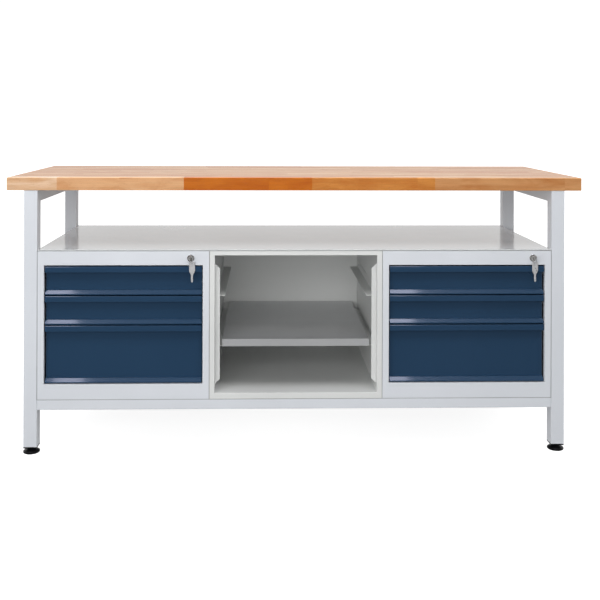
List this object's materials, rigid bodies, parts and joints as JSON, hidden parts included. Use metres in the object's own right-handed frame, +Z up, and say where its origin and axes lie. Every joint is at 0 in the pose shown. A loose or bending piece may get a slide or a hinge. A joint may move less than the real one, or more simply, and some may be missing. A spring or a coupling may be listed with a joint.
{
  "type": "workbench with drawers",
  "caption": "Workbench with a beech top on a square-tube frame, lockable drawer cabinets at both ends, an open shelf module between them and a tray under the top.",
  "frame": {"origin": "on the floor, in the middle of the whole box, keys included", "axes": "+X to the right along the worktop, -Y towards the person at the drawers, +Z up"},
  "size_m": [1.75, 0.628, 0.836],
  "materials": {
    "beech": "oiled, block-glued",
    "light_grey_paint": "powder coated, semi-gloss",
    "blue_paint": "powder coated, semi-gloss",
    "shelf_paint": "powder coated, satin",
    "zinc": "zinc plated",
    "black_plastic": "moulded",
    "chrome": "nickel plated"
  },
  "bodies": {
    "bench": {"worktop": "beech", "left_end_frame": "light_grey_paint", "right_end_frame": "light_grey_paint", "front_rail": "light_grey_paint", "rear_rail": "light_grey_paint", "top_tray": "light_grey_paint", "centre_body": "light_grey_paint", "centre_back_panel": "light_grey_paint", "left_cabinet_body": "light_grey_paint", "left_back_panel": "light_grey_paint", "left_top_drawer_left_channel": "zinc", "left_top_drawer_right_channel": "zinc", "left_middle_drawer_left_channel": "zinc", "left_middle_drawer_right_channel": "zinc", "left_bottom_drawer_left_channel": "zinc", "left_bottom_drawer_right_channel": "zinc", "left_lock_case": "chrome", "lower_left_shelf_runner": "light_grey_paint", "upper_left_shelf_runner": "light_grey_paint", "right_cabinet_body": "light_grey_paint", "right_back_panel": "light_grey_paint", "right_top_drawer_left_channel": "zinc", "right_top_drawer_right_channel": "zinc", "right_middle_drawer_left_channel": "zinc", "right_middle_drawer_right_channel": "zinc", "right_bottom_drawer_left_channel": "zinc", "right_bottom_drawer_right_channel": "zinc", "right_lock_case": "chrome", "lower_right_shelf_runner": "light_grey_paint", "upper_right_shelf_runner": "light_grey_paint", "centre_shelf": "shelf_paint", "leg_plug_front_left": "black_plastic", "leg_plug_front_right": "black_plastic", "leg_plug_rear_left": "black_plastic", "leg_plug_rear_right": "black_plastic"},
    "left_top_drawer": {"left_top_drawer_front": "blue_paint", "left_top_drawer_box": "zinc"},
    "left_middle_drawer": {"left_middle_drawer_front": "blue_paint", "left_middle_drawer_box": "zinc"},
    "left_bottom_drawer": {"left_bottom_drawer_front": "blue_paint", "left_bottom_drawer_box": "zinc"},
    "left_lock": {"left_lock_plug_and_key": "chrome", "left_lock_cam": "zinc"},
    "left_lock_bar": {"left_lock_bar": "zinc"},
    "left_spare_key": {"left_spare_key_and_ring": "chrome"},
    "right_top_drawer": {"right_top_drawer_front": "blue_paint", "right_top_drawer_box": "zinc"},
    "right_middle_drawer": {"right_middle_drawer_front": "blue_paint", "right_middle_drawer_box": "zinc"},
    "right_bottom_drawer": {"right_bottom_drawer_front": "blue_paint", "right_bottom_drawer_box": "zinc"},
    "right_lock": {"right_lock_plug_and_key": "chrome", "right_lock_cam": "zinc"},
    "right_lock_bar": {"right_lock_bar": "zinc"},
    "right_spare_key": {"right_spare_key_and_ring": "chrome"},
    "foot_front_left": {"levelling_foot_front_left": "black_plastic"},
    "foot_front_right": {"levelling_foot_front_right": "black_plastic"},
    "foot_rear_left": {"levelling_foot_rear_left": "black_plastic"},
    "foot_rear_right": {"levelling_foot_rear_right": "black_plastic"}
  },
  "joints": [
    {"name": "left_top_drawer_slide", "type": "slide", "parent": "bench", "child": "left_top_drawer", "axis": [0, -1, 0], "range_m": [0, 0.4]},
    {"name": "left_middle_drawer_slide", "type": "slide", "parent": "bench", "child": "left_middle_drawer", "axis": [0, -1, 0], "range_m": [0, 0.4]},
    {"name": "left_bottom_drawer_slide", "type": "slide", "parent": "bench", "child": "left_bottom_drawer", "axis": [0, -1, 0], "range_m": [0, 0.4]},
    {"name": "left_lock_turn", "type": "hinge", "parent": "bench", "child": "left_lock", "pos_m": [-0.32015, -0.284, 0.5914], "axis": [0, 1, 0], "range_deg": [0, 90]},
    {"name": "left_lock_bar_slide", "type": "slide", "parent": "bench", "child": "left_lock_bar", "axis": [0, 0, -1], "range_m": [0, 0.008]},
    {"name": "left_spare_key_swing", "type": "hinge", "parent": "bench", "child": "left_spare_key", "pos_m": [-0.32015, -0.28955, 0.5914], "axis": [0, 1, 0], "range_deg": [-20, 20]},
    {"name": "right_top_drawer_slide", "type": "slide", "parent": "bench", "child": "right_top_drawer", "axis": [0, -1, 0], "range_m": [0, 0.4]},
    {"name": "right_middle_drawer_slide", "type": "slide", "parent": "bench", "child": "right_middle_drawer", "axis": [0, -1, 0], "range_m": [0, 0.4]},
    {"name": "right_bottom_drawer_slide", "type": "slide", "parent": "bench", "child": "right_bottom_drawer", "axis": [0, -1, 0], "range_m": [0, 0.4]},
    {"name": "right_lock_turn", "type": "hinge", "parent": "bench", "child": "right_lock", "pos_m": [0.7262, -0.284, 0.5914], "axis": [0, 1, 0], "range_deg": [0, 90]},
    {"name": "right_lock_bar_slide", "type": "slide", "parent": "bench", "child": "right_lock_bar", "axis": [0, 0, -1], "range_m": [0, 0.008]},
    {"name": "right_spare_key_swing", "type": "hinge", "parent": "bench", "child": "right_spare_key", "pos_m": [0.7262, -0.28955, 0.5914], "axis": [0, 1, 0], "range_deg": [-20, 20]},
    {"name": "foot_front_left_screw", "type": "slide", "parent": "bench", "child": "foot_front_left", "axis": [0, 0, -1], "range_m": [0, 0.015]},
    {"name": "foot_front_right_screw", "type": "slide", "parent": "bench", "child": "foot_front_right", "axis": [0, 0, -1], "range_m": [0, 0.015]},
    {"name": "foot_rear_left_screw", "type": "slide", "parent": "bench", "child": "foot_rear_left", "axis": [0, 0, -1], "range_m": [0, 0.015]},
    {"name": "foot_rear_right_screw", "type": "slide", "parent": "bench", "child": "foot_rear_right", "axis": [0, 0, -1], "range_m": [0, 0.015]}
  ],
  "couplings": [
    {"joint": "left_lock_turn", "follows": "left_lock_bar_slide", "rad_per_m": 196.35},
    {"joint": "right_lock_turn", "follows": "right_lock_bar_slide", "rad_per_m": 196.35}
  ]
}
